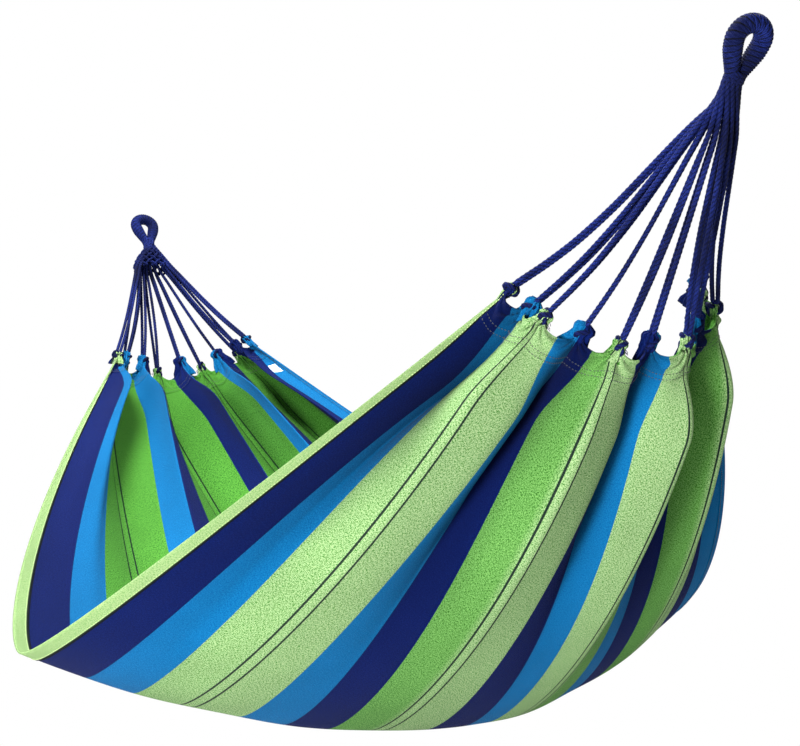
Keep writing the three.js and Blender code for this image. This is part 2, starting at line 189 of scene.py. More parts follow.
TIP_HALF, TIP_REACH = 0.008, 0.045  # how far the cloth is drawn up beside a knot, and below it
TIP_LIFT = 0.006
RIM_KNOT = 0.006  # share of the width between a rim and the knot at its corner
GATHERED_WIDTH = 0.50  # along the edge, from rim to rim
CREASE_FROM = 0.1  # height of a fold's side, from -1 to 1, where the painted shade of its crease begins
CREASE_DEPTH = 0.040  # this far below, the painted shade is at its full strength
# how much the painted shade darkens the creases at its full strength
CREASE_SHADE = 0.50
INSIDE_CREASE_SHADE = 0.3  # how strong the painted shade in the creases is on the inside of the bed, where 1 is as outside
LAP = 0.002  # how far the bed runs in under its side hems, as a share of its width
SLEEVE_LAP = 0.003  # and under its sleeves, as a share of its length
STITCHED_HEM = 0.82  # share of a hem's width between the rim and its stitches
STITCHED_SLEEVE = (0.72, 0.93)  # shares of a sleeve's width between the end and its two rows
LABEL_SIZE = 0.025
LABEL_FROM_END = 0.082
LABEL_FROM_RIM = 0.040
LABEL_THICKNESS = 0.0006

# Colours, as red, green and blue from 0 to 1 in sRGB: the main colour and the flecks in it
COLOURS = {
    "navy": ((0.03, 0.09, 0.34), (0.055, 0.15, 0.44)),
    "blue": ((0.02, 0.42, 0.68), (0.10, 0.54, 0.80)),
    "green": ((0.80, 0.93, 0.68), (0.25, 0.56, 0.14)),
    # the green as it is painted where the cloth lies in shade
    "deep green": ((0.44, 0.76, 0.30), (0.12, 0.42, 0.07)),
    "hem": ((0.76, 0.88, 0.62), (0.52, 0.72, 0.40)),
}
IN_SHADE = {"green": "deep green"}  # painted shade: a deeper green on the inside of the bed, and on the steep half of each crest
STEEP_SHADE = (0.12, 0.75, 0.70, 0.80)  # how much of the painted shade each steep half has, where the inside has 1
DYE = 0.42  # what the dyed cotton gives back of its full colour
ROPE_NAVY = ((0.05, 0.09, 0.32), (0.15, 0.23, 0.60))
ROPE_DARK = ((0.04, 0.07, 0.27), (0.10, 0.16, 0.46))
LINE_INK = (0.002, 0.004, 0.008, 1.0)
LINE_FROM_MIDDLE = 0.135  # of a wide stripe, in units of one narrow stripe
SEAM_HALF = 0.0022
THREAD_PITCH = 0.0016

# Camera, floor and light
YAW, PITCH = math.radians(62.31), math.radians(1.68)
LOOK = (-math.sin(YAW), math.cos(YAW), 0.0)
CAMERA_PLACE = (1.466, -1.208, -0.432)
CAMERA_LENS, CAMERA_SENSOR = 76.2, 36.0  # mm
FLOOR_DROP = 1.32
FLOOR_RADIUS = 24.0
FLOOR_RINGS, FLOOR_SIDES = 24, 64
LAMPS = [  # name, place, width in metres and power in watts
    ("key", (1.2, -2.2, -0.55), 0.8, 165.0),
    ("top", (-1.3, -0.9, 2.1), 1.2, 215.0),
    ("fill", (-1.1, 1.5, 1.7), 1.2, 100.0),
]
LAMPS_AIM = (-EYE_SPAN / 2, 0.0, -0.6)

ACROSS = np.array([0.0, 1.0, 0.0])


def unit(vectors):
    vectors = np.asarray(vectors, float)
    return vectors / np.maximum(np.linalg.norm(vectors, axis=-1, keepdims=True), 1e-12)


class End:
    """One end of the hammock: its hook seat and the directions that its cords hang and fan in.

    fan_half and fan_depth are the size of the fan at the foot of the stem, fanned is how far the
    cords follow it there, from 0 to 1, and bow is how far they are drawn together half way.
    """

    def __init__(self, name, inward, fan_half, fan_depth, fanned, bow, u, arch):
        self.name, self.inward, self.u = name, inward, u
        self.fan_half, self.fan_depth, self.fanned, self.bow = fan_half, fan_depth, fanned, bow
        self.arch = arch
        self.seat = SEATS[name]
        self.down = np.array([inward * math.cos(CORD_SLOPE), 0, -math.sin(CORD_SLOPE)])
        self.out = np.array([-inward * math.sin(CORD_SLOPE), 0, -math.cos(CORD_SLOPE)])

    def point(self, across, down, out=0.0):
        across, down, out = np.broadcast_arrays(across, down, out)
        return (self.seat + across[..., None] * ACROSS + down[..., None] * self.down
                + out[..., None] * self.out)


# Each gathered end is an arch from corner to corner: half its width, how far in from the hook and
# below the hanging line its corners are, how much the rear corner is the higher, and how far the
# arch's middle lies below, towards the hook and to the rear
NEAR = End("near", inward=-1, fan_half=0.026, fan_depth=0.024, fanned=0.25, bow=0.10, u=0.0, arch={
    "half": 0.142, "inset": 0.286, "drop": 0.260, "tilt": 0.014, "sag": 0.086, "reach": 0.101,
    "shift": -0.004})
FAR = End("far", inward=1, fan_half=0.034, fan_depth=0.026, fanned=0.9, bow=0.04, u=1.0, arch={
    "half": 0.138, "inset": 0.250, "drop": 0.282, "tilt": 0.020, "sag": 0.042, "reach": 0.091,
    "shift": 0.025})


# The bed's surface: u runs from the near end to the far end, v from the front rim to the rear one.
def end_edge(end, v):
    """The arch of one gathered end."""
    high = np.sin(np.pi * v)
    arch = end.arch
    return np.stack([
        end.seat[0] + end.inward * (arch["inset"] - arch["reach"] * high),
        arch["shift"] * high - arch["half"] * np.cos(np.pi * v),
        arch["tilt"] * (2 * v - 1) - arch["drop"] - arch["sag"] * high,
    ], -1)


def mid_length(u, power):
    """From 0 at both ends to 1 half way along. A higher power makes the middle flatter."""
    def soft(distance):
        return (distance * distance + MID_ROUNDING ** 2) ** (power / 2)
    return (soft(1) - soft(2 * u - 1)) / (soft(1) - soft(0))


def hanging_point(u, v):
    """The bed without its folds."""
    u, v = np.broadcast_arrays(np.asarray(u, float), np.asarray(v, float))
    across = 1 - 2 * v
    near, far = end_edge(NEAR, v), end_edge(FAR, v)
    middle = (near + far) / 2
    half = np.where(across > 0, FRONT_HALF, REAR_HALF)
    spread, sag = mid_length(u, SPREAD_POWER), mid_length(u, SAG_POWER)
    point = near + (far - near) * u[..., None]
    point[..., 0] += spread * MID_SHIFT
    point[..., 1] += spread * (-half * across - middle[..., 1])
    point[..., 2] += sag * (-BED_DROP + RIM_RISE * across * across - middle[..., 2])
    return point


def surface_normal(point_at, u, v, step=1e-3):
    along_u = point_at(np.minimum(u + step, 1), v) - point_at(np.maximum(u - step, 0), v)
    along_v = point_at(u, np.minimum(v + step, 1)) - point_at(u, np.maximum(v - step, 0))
    return unit(np.cross(along_u, along_v))


def fade(distance, reach, power=2):
    return np.clip(1 - distance / reach, 0, 1) ** power


def waves(u, v, seed, count, lowest, highest):
    """A smooth field of sines, from -1 to 1, for the unevenness of the cloth."""
    draw = np.random.default_rng(seed)
    total = np.zeros_like(u)
    for _ in range(count):
        ku, kv = draw.uniform(0.3, 1.0), draw.uniform(lowest, highest)
        total += np.sin(2 * np.pi * (ku * u * 2 + kv * v + draw.uniform()))
    return total / count


def smooth_step(t):
    t = np.clip(t, 0, 1)
    return t * t * (3 - 2 * t)


def spare_depth(u):
    """How deep the folds can be: they take up the width that the bed hasn't spread to yet."""
    share = END_SHARE + (1 - END_SHARE) * mid_length(u, SPREAD_POWER)
    return FOLD_DEPTH * np.clip(1 - share * share, 0, 1) ** FOLD_POWER


def fold_heights():
    """Where across the bed the folds bend, and how far out each bend is."""
    bends = [(0.0, 0.0), (1.0, 0.0)] + [(pair, -1.0) for pair in PAIRS]
    for centre, side in zip(CENTRES, FOLD_SIDES):
        half = side * WIDE / 2 * UNIT
        bends += [(centre - half, FOLD_STEEP), (centre, FOLD_CREST), (centre + half, FOLD_FLAT)]
    return np.array(sorted(bends)).T


def fold_height(v):
    """From -1 in the deepest fold to 1 on the highest crest, with the bends rounded off."""
    places, heights = fold_heights()
    offsets = np.linspace(-1, 1, 7) * FOLD_ROUNDING * UNIT
    return sum(np.interp(v + offset, places, heights) for offset in offsets) / len(offsets)


def knot_pleats(u, v):
    """Small pleats that run out from each knot into the cloth and die away."""
    total = np.zeros(np.broadcast(u, v).shape)
    for end_u in (0.0, 1.0):
        along = np.abs(u - end_u) * CUT_LENGTH
        for k, place in enumerate(GATHERS):
            across = (v - place) * GATHERED_WIDTH
            away = np.hypot(along, across)
            ray = np.sin(PLEATS * np.arctan2(across, along + 1e-6) + PLEAT_TURN * k)
            total += ray * np.clip(away / PLEAT_START, 0, 1) * np.exp(-away / PLEAT_REACH)
    return PLEAT_DEPTH * total


def bed_point(u, v):
    """The cloth's own middle surface, with its folds and scalloped ends."""
    u, v = np.broadcast_arrays(np.asarray(u, float), np.asarray(v, float))
    phase = 2 * np.pi * np.interp(v, FOLD_PLACES, PHASES)
    rim = smooth_step(np.minimum(v, 1 - v) / RIM_FADE)
    from_end = np.minimum(u, 1 - u)
    k = np.clip(np.searchsorted(GATHERS, v, side="right") - 1, 0, len(GATHERS) - 2)
    lobe = np.sin(np.pi * (v - GATHERS[k]) / (GATHERS[k + 1] - GATHERS[k]))
    spare = spare_depth(u) * rim
    depth = spare * (FOLD_EDGE + (1 - FOLD_EDGE) * smooth_step(from_end / FOLD_RISE))

    hung = u + (SCALLOP / CUT_LENGTH) * lobe * (fade(u, SCALLOP_REACH) - fade(1 - u, SCALLOP_REACH))
    squeeze = FOLD_SQUEEZE * (depth / FOLD_DEPTH) ** SQUEEZE_POWER * (WIDE + 2) * UNIT / (2 * np.pi)
    placed = np.clip(v - squeeze * np.sin(phase), 0, 1)
    base = hanging_point(hung, placed)
    normal = surface_normal(hanging_point, hung, placed)
    step = 1e-3
    across = unit(hanging_point(hung, np.minimum(placed + step, 1))
                  - hanging_point(hung, np.maximum(placed - step, 0)))
    out = depth * (fold_height(v) - FOLD_SINK)
    out += LOBE_BULGE * lobe * fade(from_end, SCALLOP_REACH)
    uneven = waves(u, v, seed=7, count=6, lowest=2.0, highest=6.0)
    out += UNEVEN_DEPTH * uneven * rim * (1 - fade(from_end, UNEVEN_REACH))
    out += knot_pleats(u, v) * rim
    side = -FOLD_LEAN * spare * (1 - np.cos(phase)) / 2
    return base + normal * out[..., None] + across * side[..., None]


def tip_pull(u, v, points):
    """Draws the cloth beside each knot up into it."""
    for end in (NEAR, FAR):
        from_end = np.abs(u - end.u) * CUT_LENGTH
        for i in range(len(GATHERS)):
            knot = Gather(end, i)
            away = np.abs(v - knot.v) * GATHERED_WIDTH
            pull = np.exp(-(away / TIP_HALF) ** 2) * np.clip(1 - from_end / TIP_REACH, 0, 1) ** 1.5
            points = points + pull[..., None] * TIP_LIFT * knot.pull
    return points


class Gather:
    """Where one doubled cord leaves the fan, and where it is tied to the cloth."""

    def __init__(self, end, index):
        self.v = min(max(GATHERS[index], RIM_KNOT), 1 - RIM_KNOT)
        angle = math.pi * index / (len(GATHERS) - 1)
        self.radial = unit(-math.cos(angle) * ACROSS + math.sin(angle) * end.out)
        self.start = end.point(
            -end.fan_half * math.cos(angle),
            THROAT_DROP + STEM_LENGTH,
            end.fan_depth * math.sin(angle),
        )
        self.edge = bed_point(end.u, self.v)
        self.pull = unit(self.start - self.edge)
        self.side = unit(self.radial - self.pull * (self.radial @ self.pull))
        self.slack = LEG_SLACK * (index * 7 % 5) / 4  # uneven from cord to cord
        self.knot = self.edge + self.pull * KNOT_UP
        self.bight = self.edge + self.pull * (KNOT_UP + KNOT_RADIUS)


# Meshes
def add_mesh(name, vertices, faces, uvs, material, marks=None):
    mesh = bpy.data.meshes.new(name)
    mesh.from_pydata(np.asarray(vertices, float).tolist(), [], [list(f) for f in faces])
    mesh.update()
    layer = mesh.uv_layers.new(name="cloth")
    corners = np.empty(len(mesh.loops), np.int32)
    mesh.loops.foreach_get("vertex_index", corners)
    layer.data.foreach_set("uv", np.asarray(uvs, np.float32)[corners].ravel())
    mesh.polygons.foreach_set("use_smooth", np.ones(len(mesh.polygons), bool))
    for mark, values in (marks or {}).items():
        data = mesh.attributes.new(mark, "FLOAT", "POINT").data
        data.foreach_set("value", np.asarray(values, np.float32))
    mesh.materials.append(material)
    piece = bpy.data.objects.new(name, mesh)
    bpy.context.scene.collection.objects.link(piece)
    return piece


def grid_quads(rows, columns, start=0, turned=False, closed=False):
    across = columns if closed else columns - 1
    i, j = np.meshgrid(np.arange(rows - 1), np.arange(across), indexing="ij")
    a = start + i * columns + j
    b = start + i * columns + (j + 1) % columns
    quads = np.stack([a, a + columns, b + columns, b], -1).reshape(-1, 4)
    return quads[:, ::-1] if turned else quads


def cloth_slab(name, rows, columns, thickness, material, offset=0.0, pulled=True):
    """Cloth of a thickness over a patch of the bed, closed at its edges."""
    u, v = np.meshgrid(rows, columns, indexing="ij")
    middle = bed_point(u, v)
    if pulled:
        middle = tip_pull(u, v, middle)
    normal = surface_normal(bed_point, u, v)
    sides = [middle + normal * (offset + s * thickness / 2) for s in (1, -1)]
    count, wide = len(rows) * len(columns), len(columns)
    outer = grid_quads(len(rows), wide)
    inner = grid_quads(len(rows), wide, count, turned=True)
    rim = np.concatenate([
        np.arange(wide),
        np.arange(1, len(rows)) * wide + wide - 1,
        (len(rows) - 1) * wide + np.arange(wide - 2, -1, -1),
        np.arange(len(rows) - 2, 0, -1) * wide,
    ])
    after = np.roll(rim, -1)
    edge = np.stack([rim, after, after + count, rim + count], -1)
    uv = np.stack([u * CUT_LENGTH, v * CUT_WIDTH], -1).reshape(-1, 2)
    vertices = np.concatenate([side.reshape(-1, 3) for side in sides])
    # how far each point lies down in a crease, for the shade painted there
    height = (spare_depth(u) * (fold_height(v) - CREASE_FROM)).ravel() / CREASE_DEPTH
    marks = {"inside": np.repeat([0.0, 1.0], count),
             "crease": np.clip(np.concatenate([-height, INSIDE_CREASE_SHADE * height]), 0, 1)}
    return add_mesh(name, vertices, np.concatenate([outer, inner, edge]),
                    np.concatenate([uv, uv]), material, marks)


def smooth_path(points, step):
    """A Catmull-Rom curve through the points, with points at even steps along it."""
    p = np.asarray(points, float)
    p = np.concatenate([[2 * p[0] - p[1]], p, [2 * p[-1] - p[-2]]])
    t = np.linspace(0, 1, 24, endpoint=False)[:, None]
    pieces = []
    for a, b, c, d in zip(p, p[1:], p[2:], p[3:]):
        pieces.append(0.5 * (2 * b + (c - a) * t + (2 * a - 5 * b + 4 * c - d) * t ** 2
                             + (3 * b - a - 3 * c + d) * t ** 3))
    fine = np.concatenate(pieces + [p[-2:-1]])
    along = np.concatenate([[0], np.cumsum(np.linalg.norm(np.diff(fine, axis=0), axis=1))])
    count = max(int(round(along[-1] / step)), 2)
    even = np.linspace(0, along[-1], count + 1)
    return np.stack([np.interp(even, along, fine[:, axis]) for axis in range(3)], -1)


def path_frames(path, closed=False):
    """Tangent and two side directions at each point of a path, turning as little as possible."""
    if closed:
        tangent = unit(np.roll(path, -1, 0) - np.roll(path, 1, 0))
    else:
        tangent = unit(np.gradient(path, axis=0))
    first = np.cross(tangent[0], [0.0, 0.0, 1.0])
    if np.linalg.norm(first) < 0.2:
        first = np.cross(tangent[0], [0.0, 1.0, 0.0])
    sides = [unit(first)]
    for t in tangent[1:]:
        side = sides[-1] - t * (sides[-1] @ t)
        sides.append(unit(side))
    side = np.array(sides)
    return tangent, side, np.cross(tangent, side)


def tube(path, radius_at, sides, closed=False):
    """Vertices, faces and UVs of a tube. radius_at takes the distance along it and the angle round it."""
    path = np.asarray(path, float)
    _, side, up = path_frames(path, closed)
    along = np.concatenate([[0], np.cumsum(np.linalg.norm(np.diff(path, axis=0), axis=1))])
    angle = np.linspace(0, 2 * np.pi, sides, endpoint=False)
    s, a = np.meshgrid(along, angle, indexing="ij")
    radius = radius_at(s, a) * np.ones_like(s)
    ring = side[:, None] * np.cos(a)[..., None] + up[:, None] * np.sin(a)[..., None]
    vertices = (path[:, None] + ring * radius[..., None]).reshape(-1, 3)
    uv = np.stack([s, a / (2 * np.pi)], -1).reshape(-1, 2)
    faces = grid_quads(len(path), sides, closed=True, turned=True).tolist()
    last = (len(path) - 1) * sides
    if closed:
        for j in range(sides):
            k = (j + 1) % sides
            faces.append([last + j, last + k, k, j])
    else:
        faces.append(list(range(sides - 1, -1, -1)))
        faces.append([last + j for j in range(sides)])
    return vertices, faces, uv


def joined(parts):
    vertices, faces, uvs, base = [], [], [], 0
    for v, f, uv in parts:
        vertices.append(v)
        uvs.append(uv)
        faces += [[i + base for i in face] for face in f]
        base += len(v)
    return np.concatenate(vertices), faces, np.concatenate(uvs)


def laid(diameter, pitch=LAY_PITCH, depth=0.26):
    """The outline of a rope laid from strands that wind round each other."""
    def radius(s, a):
        phase = STRANDS * (a - 2 * np.pi * s / pitch)
        return diameter / 2 * (1 - depth + depth * np.abs(np.cos(phase / 2)) ** 0.8)
    return radius


# Materials
def srgb(colour, reflectance=1.0):
    linear = [c / 12.92 if c <= 0.04045 else ((c + 0.055) / 1.055) ** 2.4 for c in colour]
    return (*[c * reflectance for c in linear], 1.0)


class Nodes:
    """A short way to write a node tree: each call adds one node and links or sets its inputs."""

    def __init__(self, owner):
        owner.use_nodes = True
        self.tree = owner.node_tree
        self.tree.nodes.clear()

    def add(self, kind, inputs=None, **settings):
        node = self.tree.nodes.new("ShaderNode" + kind)
        for name, value in settings.items():
            setattr(node, name, value)
        for name, value in (inputs or {}).items():
            if isinstance(value, bpy.types.NodeSocket):
                self.tree.links.new(value, node.inputs[name])
            else:
                node.inputs[name].default_value = value
        return node

    def math(self, operation, a, b=0.0, c=0.0):
        return self.add("Math", {0: a, 1: b, 2: c}, operation=operation).outputs[0]

    def mix(self, share, a, b, blend_type="MIX"):
        node = self.add("Mix", data_type="RGBA", blend_type=blend_type)
        for socket, value in ((node.inputs[0], share), (node.inputs[6], a), (node.inputs[7], b)):
            if isinstance(value, bpy.types.NodeSocket):
                self.tree.links.new(value, socket)
            else:
                socket.default_value = value
        return node.outputs[2]

    def bands(self, factor, stops):
        """A colour ramp of flat bands: stops is a list of (place, colour)."""
        node = self.add("ValToRGB", {0: factor})
        ramp = node.color_ramp
        ramp.interpolation = "CONSTANT"
        while len(ramp.elements) < len(stops):
            ramp.elements.new(1.0)
        while len(ramp.elements) > len(stops):
            ramp.elements.remove(ramp.elements[-1])
        for element, (place, colour) in zip(ramp.elements, stops):
            element.position = place
            element.color = colour
        return node.outputs[0]

    def smooth_step(self, value, low, high):
        node = self.add("MapRange", {0: value, 1: low, 2: high, 3: 0.0, 4: 1.0},
                        interpolation_type="SMOOTHSTEP")
        return node.outputs[0]

    def ranged(self, value, low, high, start, end):
        """The value, moved in proportion from low and high to start and end."""
        return self.add("MapRange", {0: value, 1: low, 2: high, 3: start, 4: end}).outputs[0]

    def shaded(self, colour, share):
        """The colour, with its brightness multiplied by a share."""
        grey = self.add("CombineColor", {0: share, 1: share, 2: share}).outputs[0]
        return self.mix(1.0, colour, grey, "MULTIPLY")

    def cloth_place(self):
        uv = self.add("UVMap", uv_map="cloth").outputs[0]
        parts = self.add("SeparateXYZ", {0: uv})
        return uv, parts.outputs[0], parts.outputs[1]

    def surface(self, colour, roughness, height, bump, **sockets):
        bumped = self.add("Bump", {"Strength": bump[0], "Distance": bump[1], "Height": height})
        shader = self.add("BsdfPrincipled", {
            "Base Color": colour, "Roughness": roughness, "Normal": bumped.outputs[0]})
        for name, value in sockets.items():
            shader.inputs[name.replace("_", " ")].default_value = value
        self.tree.links.new(shader.outputs[0], self.add("OutputMaterial").inputs[0])


def noise(nodes, vector, scale, detail=2.0, roughness=0.5):
    return nodes.add("TexNoise", {
        "Vector": vector, "Scale": scale, "Detail": detail, "Roughness": roughness}).outputs[0]


def stretched(nodes, vector, along, across):
    return nodes.add("Mapping", {"Vector": vector, "Scale": (along, across, 1.0)}).outputs[0]


def shade_share(nodes, share):
    """Where the green is painted deeper as painted shade: on the inside of the bed, and on the steep half
    of each crest.
    """
    deep = nodes.add("Attribute", attribute_name="inside").outputs["Fac"]
    for centre, side, steep_deep in zip(CENTRES, FOLD_SIDES, STEEP_SHADE):
        away = nodes.math("SUBTRACT", share, float(centre))
        from_crest = nodes.math("MULTIPLY", away, -float(side) / UNIT)
        steep = nodes.math("MULTIPLY", nodes.smooth_step(from_crest, 0.05, 0.35),
                           nodes.smooth_step(from_crest, WIDE / 2 + 0.3, WIDE / 2))
        deep = nodes.math("MAXIMUM", deep, nodes.math("MULTIPLY", steep, steep_deep))
    return deep


def dyed_and_shaded(nodes, share, deep, stripes, which):
    """The stripes in their main colours, where which is 0, or in those of their flecks, where it is 1,
    with the green's painted shade mixed in where deep says.
    """
    plain = [(start, srgb(COLOURS[colour][which], DYE)) for start, colour in stripes]
    deeper = [(start, srgb(COLOURS[IN_SHADE.get(colour, colour)][which], DYE)) for start, colour in stripes]
    return nodes.mix(deep, nodes.bands(share, plain), nodes.bands(share, deeper))


def canvas(name, stripes):
    """Plain-woven cotton: flecked threads in bands across the cloth, worn a little, with painted shade in
    its creases and a deeper green painted where it lies in shade.
    """
    material = bpy.data.materials.new(name)
    nodes = Nodes(material)
    uv, along, across = nodes.cloth_place()
    share = nodes.math("DIVIDE", across, CUT_WIDTH)
    deep = shade_share(nodes, share)
    main, fleck = [dyed_and_shaded(nodes, share, deep, stripes, which) for which in (0, 1)]

    # Threads spun from mixed fibre: short flecks along the warp, and fewer along the weft
    warp = noise(nodes, stretched(nodes, uv, 330.0, 950.0), 1.0, 3.0, 0.7)
    weft = noise(nodes, stretched(nodes, uv, 950.0, 300.0), 1.0, 3.0, 0.7)
    mixed = nodes.math("ADD", nodes.math("MULTIPLY", warp, 0.6), nodes.math("MULTIPLY", weft, 0.4))
    colour = nodes.mix(nodes.smooth_step(mixed, 0.45, 0.57), main, fleck)

    # A pair of thin black lines down the middle of each wide stripe
    in_units = nodes.math("DIVIDE", across, CUT_WIDTH * UNIT)
    from_first = nodes.math("SUBTRACT", in_units, EDGE + 2)
    in_stripe = nodes.math("FLOORED_MODULO", from_first, WIDE + 2)
    from_middle = nodes.math("ABSOLUTE", nodes.math("SUBTRACT", in_stripe, WIDE / 2))
    from_line = nodes.math("ABSOLUTE", nodes.math("SUBTRACT", from_middle, LINE_FROM_MIDDLE))
    line = nodes.math("SUBTRACT", 1.0, nodes.smooth_step(from_line, 0.020, 0.030))
    from_seam = nodes.math("ABSOLUTE", nodes.math("SUBTRACT", across, HEM_WIDTH))
    seam = nodes.math("LESS_THAN", from_seam, SEAM_HALF)
    dark = nodes.math("MAXIMUM", line, seam)
    colour = nodes.mix(nodes.math("MULTIPLY", dark, 0.95), colour, LINE_INK)

    # Uneven dye and handling
    broad = noise(nodes, stretched(nodes, uv, 5.0, 9.0), 1.0, 4.0, 0.6)
    colour = nodes.shaded(colour, nodes.ranged(broad, 0.3, 0.7, 0.88, 1.07))

    # Painted shade: the creases are darker where the folds shade them
    crease = nodes.add("Attribute", attribute_name="crease").outputs["Fac"]
    unshaded = nodes.math("SUBTRACT", 1.0, nodes.math("MULTIPLY", crease, CREASE_SHADE))
    colour = nodes.shaded(colour, unshaded)

    # The weave itself
    turn = 2 * math.pi / THREAD_PITCH
    over = nodes.math("SINE", nodes.math("MULTIPLY", along, turn))
    under = nodes.math("SINE", nodes.math("MULTIPLY", across, turn))
    weave = nodes.math("MULTIPLY", over, under)
    height = nodes.math("ADD", nodes.math("MULTIPLY", weave, 0.5), nodes.math("MULTIPLY", mixed, 1.6))
    rough = nodes.ranged(mixed, 0.3, 0.7, 0.98, 0.82)
    nodes.surface(colour, rough, height, (0.55, 0.0006),
                  Sheen_Weight=0.012, Sheen_Roughness=0.5, Specular_IOR_Level=0.03)
    return material


def striped(name):
    return canvas(name, [(start, colour) for start, (_, colour) in zip(BORDERS, STRIPES)])


def rope(name, colours, fibres=900.0, pitch=LAY_PITCH):
    """Spun cord: fine fibres along each strand, painted darker between the strands as shade, a little
    fuzzy.
    """
    material = bpy.data.materials.new(name)
    nodes = Nodes(material)
    _, along, around = nodes.cloth_place()
    twist = nodes.math("ADD", nodes.math("MULTIPLY", along, 60.0), around)
    on_fibre = nodes.add("CombineXYZ", {0: nodes.math("MULTIPLY", along, fibres * 0.35),
                                        1: nodes.math("MULTIPLY", twist, 26.0)}).outputs[0]
    fibre = noise(nodes, on_fibre, 1.0, 3.0, 0.6)
    coordinates = nodes.add("TexCoord").outputs["Object"]
    broad = noise(nodes, coordinates, 14.0, 3.0)
    colour = nodes.mix(nodes.smooth_step(fibre, 0.36, 0.68), srgb(colours[0], DYE), srgb(colours[1], DYE))
    worn = srgb([c * 0.72 for c in colours[0]], DYE)
    colour = nodes.mix(nodes.smooth_step(broad, 0.35, 0.75), colour, worn)
    # Painted shade in the grooves between the strands
    lay = nodes.math("SUBTRACT", around, nodes.math("DIVIDE", along, pitch))
    crown = nodes.math("ABSOLUTE", nodes.math("COSINE", nodes.math("MULTIPLY", lay, STRANDS * math.pi)))
    groove_shade = srgb([c * 0.25 for c in colours[0]], DYE)
    colour = nodes.mix(nodes.smooth_step(crown, 0.55, 0.05), colour, groove_shade)
    rough = nodes.ranged(fibre, 0.3, 0.7, 0.92, 0.66)
    nodes.surface(colour, rough, fibre, (0.6, 0.0005),
                  Sheen_Weight=0.012, Sheen_Roughness=0.4, Specular_IOR_Level=0.06)
    return material


def thread(name, colour):
    """Twisted sewing thread."""
    material = bpy.data.materials.new(name)
    nodes = Nodes(material)
    _, along, around = nodes.cloth_place()
    twist = nodes.add("CombineXYZ", {0: nodes.math("MULTIPLY", along, 2400.0), 1: around}).outputs[0]
    fibre = noise(nodes, twist, 1.0, 2.0)
    shade = nodes.mix(fibre, srgb(colour), srgb([c * 0.6 for c in colour]))
    nodes.surface(shade, 0.7, fibre, (0.4, 0.0002), Sheen_Weight=0.2, Sheen_Roughness=0.5)
    return material


def label_tape(name):
    """Blank white woven tape, with a fine rib and slightly soiled."""
    material = bpy.data.materials.new(name)
    nodes = Nodes(material)
    uv, along, _ = nodes.cloth_place()
    rib = nodes.math("SINE", nodes.math("MULTIPLY", along, 2 * math.pi / 0.0007))
    soil = noise(nodes, stretched(nodes, uv, 90.0, 90.0), 1.0, 4.0)
    clean, soiled = srgb((0.96, 0.96, 0.94)), srgb((0.86, 0.88, 0.84))
    colour = nodes.mix(nodes.smooth_step(soil, 0.4, 0.8), clean, soiled)
    nodes.surface(colour, 0.55, rib, (0.3, 0.0002), Sheen_Weight=0.15, Sheen_Roughness=0.4)
    return material


CANVAS = striped("striped_canvas")
HEM_CANVAS = canvas("hem_canvas", [(0.0, "hem")])
REAR_CANVAS = canvas("rear_hem_canvas", [(0.0, "blue")])
CORD_ROPE = rope("laid_cord", ROPE_NAVY)
EYE_ROPE = rope("whipping_cord", ROPE_NAVY, 1500.0)
KNOT_ROPE = rope("knot_cord", ROPE_DARK)
DARK_THREAD = thread("dark_thread", (0.05, 0.08, 0.09))
PALE_THREAD = thread("pale_thread", (0.70, 0.80, 0.52))
LABEL = label_tape("label_tape")


def place(piece, body, slot, *nodes):
    """Rides a piece on its body, in place of its nodes of the CAD model. The slot is not used."""
    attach(piece, body)
    if nodes:
        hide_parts(*nodes)
    return piece


def add_camera():
    """A camera level with the bed, beyond the near end and in front of the front rim."""
    lens = bpy.data.cameras.new("camera")
    lens.sensor_width = CAMERA_SENSOR
    lens.lens = CAMERA_LENS
    lens.clip_end = 100.0
    camera = bpy.data.objects.new("camera", lens)
    camera.location = CAMERA_PLACE
    camera.rotation_euler = (math.pi / 2 + PITCH, 0.0, YAW)
    bpy.context.scene.collection.objects.link(camera)
    bpy.context.scene.camera = camera


# Clew cords: from the throat, through the stem, out to a gather and back
def cord_leg(end, gather, index, sign, twist):
    """The route of one leg, from inside the seizing down to the turn in its knot."""
    ring = math.radians(FIRST_IN_BUNDLE - 360 / len(GATHERS) * index)
    radius = BUNDLE_RADII[sign]

    def bundled(share):
        """A point of the leg in the twisted stem, at a share of the stem's length."""
        angle = ring + twist * (1 - share)
        return end.point(radius * math.cos(angle), THROAT_DROP + share * STEM_LENGTH,
                         radius * math.sin(angle))

    throat = bundled(0.05)
    turn_start = gather.bight + gather.pull * LEG_SPACING / 2
    towards = turn_start - throat
    direct = throat + towards * STEM_LENGTH / np.linalg.norm(towards)
    foot = direct + (gather.start - direct) * end.fanned
    points = [bundled(-0.22), throat, (throat + foot) / 2 + gather.side * sign * LEG_SPACING / 4]
    middle = end.point(0.0, THROAT_DROP + STEM_LENGTH, end.fan_depth * end.fanned)
    middle_edge = bed_point(end.u, 0.5)
    for share in (0.03, 0.15, 0.3, 0.5, 0.7, 0.85, 0.97):
        straight = foot + (turn_start - foot) * share
        inward = end.bow * math.sin(math.pi * share)
        drawn = straight + (middle + (middle_edge - middle) * share - straight) * inward
        apart = LEG_SPACING / 2 + gather.slack * math.sin(math.pi * share)
        points.append(drawn + gather.side * sign * apart)
    return points


def bight_turn(gather):
    """The half turn that joins a cord's two legs inside its knot."""
    points = []
    for step in range(1, 6):
        angle = math.pi * step / 6
        points.append(gather.bight
                      + gather.pull * (LEG_SPACING / 2) * (1 - math.sin(angle))
                      + gather.side * (LEG_SPACING / 2) * math.cos(angle))
    return points


